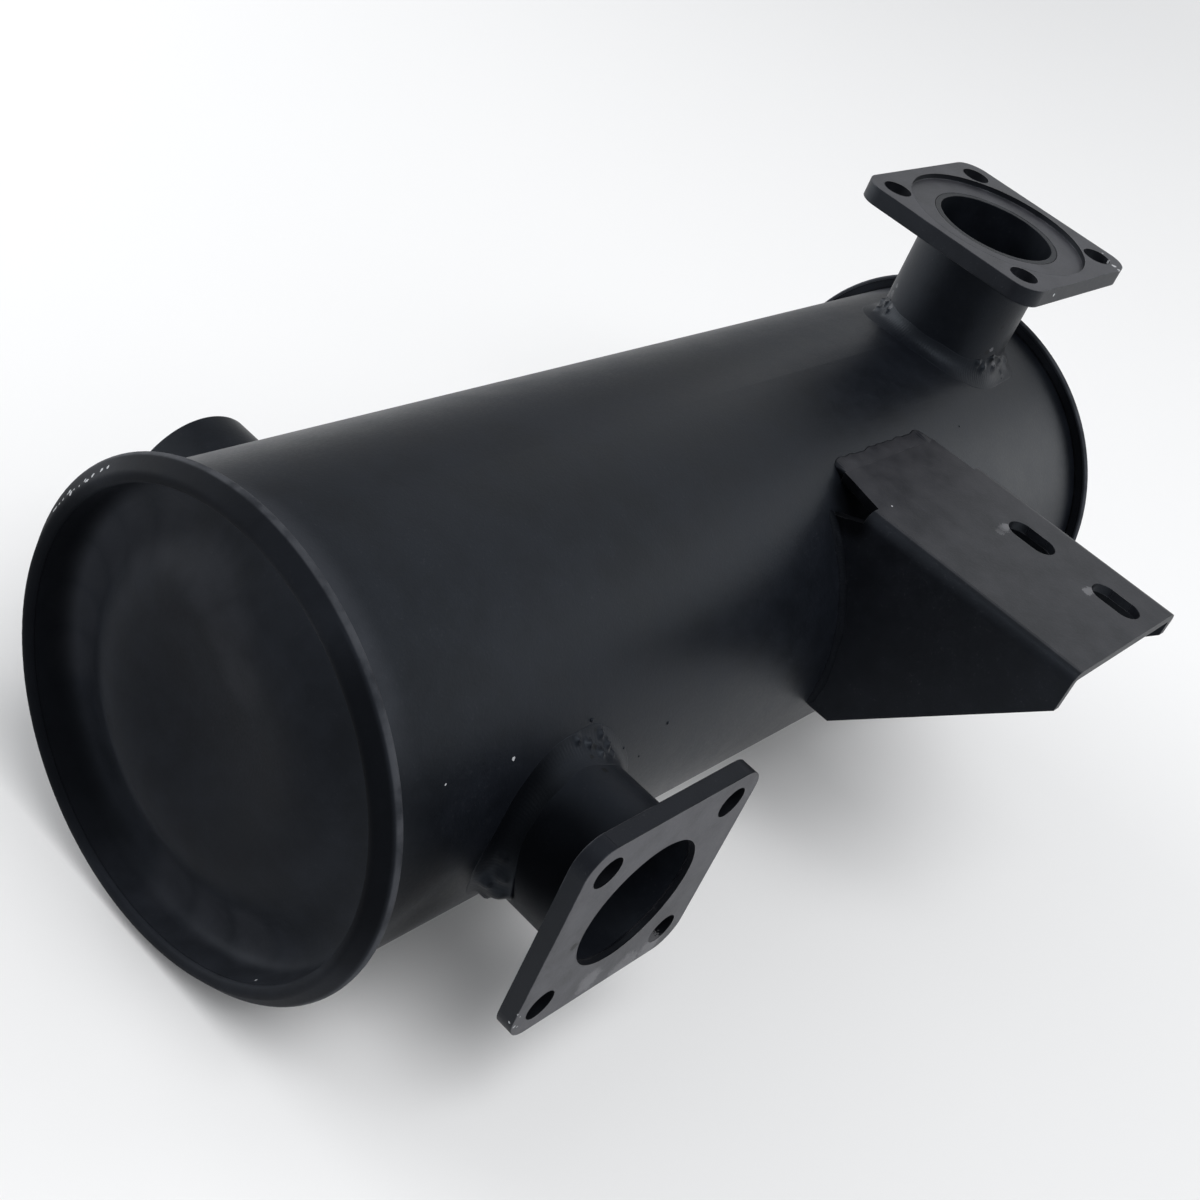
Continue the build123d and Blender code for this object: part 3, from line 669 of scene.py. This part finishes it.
def saddle_bead(name, node, *shape):
    """A saddle weld's bead of that shape, in the weld's paint."""
    painted_bead(name, saddle_rings(*shape), True, node, weld_paint)


def seal_bead(name, node, *shape):
    """A seal weld's bead of that shape, in the weld's paint."""
    painted_bead(name, seal_rings(*shape), True, node, weld_paint)


saddle_bead("inlet_saddle_bead", "inlet_saddle_weld", UPRIGHT, INLET_X, INLET_SWELLS, INLET_LUMPS, 11)
seal_bead("inlet_seal_bead", "inlet_flange_weld", UPRIGHT, INLET_X, INLET_PLATE_BACK, 21)

# --- outlet pipe and flange -----------------------------------------------------------------------
# The outlet stands sideways near the other end: a shorter pipe butted into the back of a 7 mm square
# plate, faced flat, whose 56 mm mouth is a little wider than the pipe's bore. Welded the same way.
SIDEWAYS = [[1, 0, 0], [0, 0, -1], [0, 1, 0]]
OUTLET_X = -0.3270
OUTLET_PLATE_BACK = 0.1240    # from the shell's axis
OUTLET_PLATE_MIDDLE_Y = -0.1275
OUTLET_HOLE_OFFSET = 0.0332   # of each bolt hole from the flange's middle, both ways
OUTLET_SWELLS = [(198, 24, 0.62, 0.34), (68, 14, 0.25, 0.15)]
OUTLET_LUMPS = [
    (174, 0.40, 0.0018, 0.12, 0.0012), (187, 0.30, 0.0026, 0.16, 0.0022), (194, 0.62, 0.0024, 0.14, 0.0026),
    (202, 0.36, 0.0045, 0.28, 0.0044), (212, 0.55, 0.0026, 0.16, 0.0028), (55, 0.40, 0.0012, 0.09, 0.0010),
    (62, 0.55, 0.0014, 0.10, 0.0020), (68, 0.74, 0.0012, 0.08, 0.0016), (72, 0.34, 0.0014, 0.09, 0.0018),
    (80, 0.58, 0.0013, 0.09, 0.0018), (88, 0.76, 0.0011, 0.08, 0.0014), (300, 0.50, 0.0024, 0.16, 0.0008),
]


def bolt_hole_balls(radius):
    """A ball (x, y, z, radius) half-way down each of the outlet flange's four bolt holes."""
    return [
        (OUTLET_X + side * OUTLET_HOLE_OFFSET, OUTLET_PLATE_MIDDLE_Y,
         SHELL_AXIS_Z + up * OUTLET_HOLE_OFFSET, radius)
        for side in (-1, 1) for up in (-1, 1)
    ]


outlet_flange_paint = heat_paint(
    "outlet_flange_heat_paint", (0.0052, 0.0056, 0.0076), 0.46, 0.20, 0.00005,
    dust=0.12, edge=0.0008, wear=0.40,
    lighter_side=(0.0, -1.0, 0.0), lighter_side_tone=(0.072, 0.072, 0.080),
    flecks=[(-0.3729, -0.1310, -0.1779, 0.0004), (-0.3713, -0.1310, -0.1854, 0.0006),
            (-0.3730, -0.1293, -0.1835, 0.0005), (-0.3705, -0.1310, -0.1805, 0.0003),
            (-0.3692, -0.1310, -0.1868, 0.0004)],
    pits=[(-0.3575, -0.1310, -0.1525, 0.0018)],
    scuffs=[(-0.3325, -0.1310, -0.1862, 0.0062), (-0.3104, -0.1310, -0.1931, 0.0080),
            (-0.2958, -0.1310, -0.1892, 0.0060)],
    # painted shade down the four bolt holes
    shaded=bolt_hole_balls(0.0130),
)
dress(outlet_flange_paint, "outlet_flange")
dress(pipe_paint, "outlet_pipe")
saddle_bead("outlet_saddle_bead", "outlet_saddle_weld", SIDEWAYS, OUTLET_X, OUTLET_SWELLS, OUTLET_LUMPS, 31)
seal_bead("outlet_seal_bead", "outlet_flange_weld", SIDEWAYS, OUTLET_X, OUTLET_PLATE_BACK, 41)

# --- tail stub ------------------------------------------------------------------------------------
# A plain length of the same pipe through the shell's far side, for a clamped tail pipe. Its open
# end is sawn square, with the paint thin on the edge, and its foot is welded round as the others are.
FARWARDS = [[1, 0, 0], [0, 0, 1], [0, -1, 0]]
STUB_X = -0.3310
STUB_ROOT_RADIUS = 0.02975
STUB_SWELLS = [(230, 14, 0.1, 0.2)]
STUB_LUMPS = [(70, 0.4, 0.0022, 0.2, 0.0010), (232, 0.3, 0.0020, 0.2, 0.0012)]
dress(pipe_paint, "tail_stub")
saddle_bead(
    "tail_stub_saddle_bead", "tail_stub_saddle_weld",
    FARWARDS, STUB_X, STUB_SWELLS, STUB_LUMPS, 51, STUB_ROOT_RADIUS,
)

# --- hanging bracket ------------------------------------------------------------------------------
# A channel folded from 4 mm sheet, with two adjusting slots in its plate and two gussets cut to the
# shell. The folds stop short of the shell at relief cuts. Three hand welds hold it.
GUSSET_FACES_X = (-0.1595, -0.0665)
NEAR_WELD_TURNS = np.radians([130.0, 187.0])
FAR_WELD_TURNS = np.radians([137.0, 187.0])
GUSSET_LEG = 0.0028
GUSSET_FULLNESS = 0.30
GUSSET_RIPPLE = 0.00002
GUSSET_LUMPS = [(0.012, 0.5, 0.003, 0.25, 0.0006), (0.049, 0.4, 0.004, 0.25, 0.0005)]
PLATE_TOP_Z = -0.0690
PLATE_END_Y = -0.0503
PLATE_TOE_Y = -0.0425
PLATE_WELD_X = (-0.1450, -0.0745)
PLATE_WELD_DEPTH = 0.0030     # of its root below the plate's top
PLATE_FULLNESS = 1.15
PLATE_RIPPLE = 0.00004
PLATE_LUMPS = [
    (0.010, 0.5, 0.003, 0.3, 0.0004), (0.034, 0.6, 0.004, 0.3, 0.0003), (0.066, 0.5, 0.002, 0.3, 0.0008),
]
bracket_paint = heat_paint(
    "bracket_heat_paint", (0.0042, 0.0047, 0.0067), 0.45, 0.23, 0.00006,
    dust=0.12, edge=0.0005, wear=0.35,
    lighter_side=(0.0, 0.0, 1.0), lighter_side_tone=(0.030, 0.030, 0.034),
    flecks=[(-0.1438, -0.0743, -0.0690, 0.0004)],
    # shaded: painted shade in the relief notch, on the plate's edge and the gusset's cut lip
    shaded=[(-0.1500, -0.0560, -0.0740, 0.0130), (-0.1500, -0.0680, -0.0760, 0.0130),
            (-0.1570, -0.0620, -0.0800, 0.0110), (-0.1575, -0.0700, -0.0770, 0.0100)],
    scuffs=[(-0.1050, -0.1064, -0.0690, 0.0022), (-0.1010, -0.1058, -0.0690, 0.0026),
            (-0.0980, -0.1052, -0.0690, 0.0020), (-0.1008, -0.1488, -0.0690, 0.0024),
            (-0.0978, -0.1489, -0.0690, 0.0022)],
)
# the gusset beads take a darker, less glossy copy of the paint: painted shade
gusset_weld_shaded_paint = heat_paint("gusset_weld_shaded_heat_paint", (0.0026, 0.0030, 0.0044), 0.62, 0.07, 0.00008)
dress(bracket_paint, "mounting_bracket")


def end_fade(run, length):
    """1 along a bead, falling to a rounded stop over length at each end: sqrt(1 - (1 - d)^2)."""
    depth = np.clip(np.minimum(run, run[-1] - run) / length, 0.001, 1.0)
    return np.sqrt(1.0 - (1.0 - depth) ** 2)


def gusset_rings(turns, face_x, outwards, seed):
    """Rings of the fillet between a gusset's outer side and the shell, along the shell's curve."""
    turn = np.linspace(*turns, 900)
    run = (turn - turn[0]) * SHELL_RADIUS
    leg = GUSSET_LEG * (1.0 + 0.16 * wander(run, 0.019, seed)) * end_fade(run, 0.006)
    skin = shell_point(face_x + 0 * turn, turn, 0.0)
    out = shell_point(face_x + 0 * turn, turn, 1.0) - skin
    along = np.array([outwards, 0.0, 0.0])
    toe_a = skin + out * leg[:, None] - along * TOE_SINK
    toe_b = skin + along * leg[:, None] - out * TOE_SINK
    corner = skin - TOE_SINK * (out + along)
    return bead_rings(toe_a, toe_b, corner, GUSSET_FULLNESS, run, GUSSET_RIPPLE, GUSSET_LUMPS)


def plate_rings():
    """Rings of the weld in the groove between the plate's square end and the shell above it: toe a
    lies on the plate's top, toe b on the skin at height sqrt(R^2 - y^2)."""
    run = np.linspace(0.0, PLATE_WELD_X[1] - PLATE_WELD_X[0], 700)
    x = PLATE_WELD_X[0] + run
    toe_y = PLATE_TOE_Y - 0.0007 * wander(run, 0.012, 81) - 0.003 * (1 - end_fade(run, 0.004))
    toe_z = SHELL_AXIS_Z + np.sqrt(SHELL_RADIUS**2 - toe_y**2) - TOE_SINK
    end_y = PLATE_END_Y - 0.0008 + 0.0005 * wander(run, 0.014, 82)
    toe_a = np.stack([x, end_y, 0 * run + PLATE_TOP_Z - TOE_SINK], axis=-1)
    toe_b = np.stack([x, toe_y, toe_z], axis=-1)
    root_y = 0 * run + PLATE_END_Y + 0.0010
    corner = np.stack([x, root_y, 0 * run + PLATE_TOP_Z - PLATE_WELD_DEPTH], axis=-1)
    return bead_rings(toe_a, toe_b, corner, PLATE_FULLNESS, run, PLATE_RIPPLE, PLATE_LUMPS)


near_rings = gusset_rings(NEAR_WELD_TURNS, GUSSET_FACES_X[0], -1.0, 61)
far_rings = gusset_rings(FAR_WELD_TURNS, GUSSET_FACES_X[1], 1.0, 71)
painted_bead("near_gusset_bead", near_rings, False, "bracket_near_weld", gusset_weld_shaded_paint)
painted_bead("far_gusset_bead", far_rings, False, "bracket_far_weld", gusset_weld_shaded_paint)
painted_bead("plate_bead", plate_rings(), False, "bracket_plate_weld", bracket_paint)

# --- weld spatter ---------------------------------------------------------------------------------
# Small balls of metal that the torch threw on the shell close to the welds, painted over with the
# rest: each is a low dome, 0.7 to 1.6 mm across.
SPATTER = [
    (-0.31787, -0.08121, -0.10931, 0.00080), (-0.31650, -0.08373, -0.11509, 0.00075),
    (-0.27263, -0.08696, -0.12484, 0.00070), (-0.29791, -0.08731, -0.12617, 0.00060),
    (-0.28650, -0.08890, -0.13400, 0.00040), (-0.37500, -0.08550, -0.12000, 0.00035),
    (0.01015, -0.03408, -0.06476, 0.00070), (-0.04400, -0.04700, -0.07125, 0.00040),
]


def spatter_dome(x, y, z, radius):
    """A dome on the shell's skin under (x, y, z): for u round and v up from just under the skin to a
    quarter turn, r (cos v cos u, cos v sin u, 0.7 sin v) in the skin's own axes, closed underneath."""
    u = np.linspace(0, 2 * np.pi, 12, endpoint=False)
    v = np.linspace(-0.35, np.pi / 2 - 0.02, 6)
    out = np.array([0.0, y, z - SHELL_AXIS_Z])
    out = out / np.linalg.norm(out)
    along = np.array([1.0, 0.0, 0.0])
    across = np.cross(out, along)
    middle = np.array([x, 0.0, SHELL_AXIS_Z]) + out * SHELL_RADIUS
    ring = np.cos(u)[None, :, None] * along + np.sin(u)[None, :, None] * across
    flat = np.cos(v)[:, None, None] * ring
    return middle + radius * (flat + 0.7 * np.sin(v)[:, None, None] * out)


for number, mark in enumerate(SPATTER):
    speck = facing_out(grid_object("weld_spatter_" + str(number + 1), spatter_dome(*mark), False))
    speck.data.materials.append(weld_paint)
    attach(speck, "root")

# --- floor, light and camera ----------------------------------------------------------------------
# A wide pale floor under the part; five soft boxes, a strong one behind it, one high above and weaker
# ones off the inlet's end and the outlet's side; and a pale world, so the satin paint shows soft
# bands along the shell. The camera looks down at the outlet's end from the outlet's side.
FLOOR_HALF_SIDE = 14.0
FLOOR_CLEARANCE = 0.0003
WORLD_STRENGTH = 0.37
SOFT_BOXES = [
    ("back_box", (-0.56, 2.08, 0.50), (1.8, 1.4), 40.0),
    ("high_box", (-0.48, -0.84, 1.98), (1.3, 1.3), 29.0),
    ("end_box", (1.99, 0.0, 0.93), (2.6, 2.6), 11.0),
    ("side_box", (0.0, -1.73, 1.35), (1.3, 1.3), 4.5),
    ("low_box", (1.86, -1.08, 0.46), (1.3, 1.3), 7.0),
]
CAMERA_PLACE = (-0.75095, -0.29846, 0.26625)
CAMERA_TURNS = np.radians((53.2541, -20.0535, -47.2957))
CAMERA_LENS = 53.747          # millimetres, on a sensor 36 mm wide


def floor_sheet(half_side, height, squares=8):
    """A square sheet: x and y run from -half_side to half_side, z is the height."""
    line = np.linspace(-half_side, half_side, squares + 1)
    x, y = np.meshgrid(line, line, indexing="ij")
    points = np.stack([x, y, np.full_like(x, height)], axis=-1).reshape(-1, 3)
    index = np.arange(x.size).reshape(x.shape)
    faces = np.stack([index[:-1, :-1], index[1:, :-1], index[1:, 1:], index[:-1, 1:]], axis=-1)
    mesh = bpy.data.meshes.new("floor")
    mesh.from_pydata(points.tolist(), [], faces.reshape(-1, 4).tolist())
    return mesh


def soft_box(name, offset, size, power):
    """A rectangular area light, offset from the part's middle and turned to face it."""
    middle = (cad_box[0] + cad_box[1]) / 2
    light = bpy.data.lights.new(name, "AREA")
    light.shape = "RECTANGLE"
    light.size, light.size_y = size
    light.energy = power
    lamp = bpy.data.objects.new(name, light)
    lamp.location = middle + Vector(offset)
    lamp.rotation_euler = (-Vector(offset)).to_track_quat("-Z", "Y").to_euler()
    bpy.context.scene.collection.objects.link(lamp)


floor = bpy.data.objects.new("floor", floor_sheet(FLOOR_HALF_SIDE, cad_box[0].z - FLOOR_CLEARANCE))
bpy.context.scene.collection.objects.link(floor)
floor_paper, _, floor_shader = new_material("floor_paper")
floor_shader.inputs["Base Color"].default_value = (0.88, 0.88, 0.885, 1.0)
floor_shader.inputs["Roughness"].default_value = 0.95
floor.data.materials.append(floor_paper)

world = bpy.data.worlds.new("studio")
bpy.context.scene.world = world
world.use_nodes = True
background = world.node_tree.nodes["Background"]
background.inputs["Color"].default_value = (0.96, 0.98, 1.0, 1.0)
background.inputs["Strength"].default_value = WORLD_STRENGTH

for box in SOFT_BOXES:
    soft_box(*box)

camera_data = bpy.data.cameras.new("camera")
camera_data.sensor_width = 36.0
camera_data.lens = CAMERA_LENS
camera = bpy.data.objects.new("camera", camera_data)
camera.location = CAMERA_PLACE
camera.rotation_euler = CAMERA_TURNS
bpy.context.scene.collection.objects.link(camera)
bpy.context.scene.camera = camera
bpy.context.scene.view_settings.view_transform = "Standard"
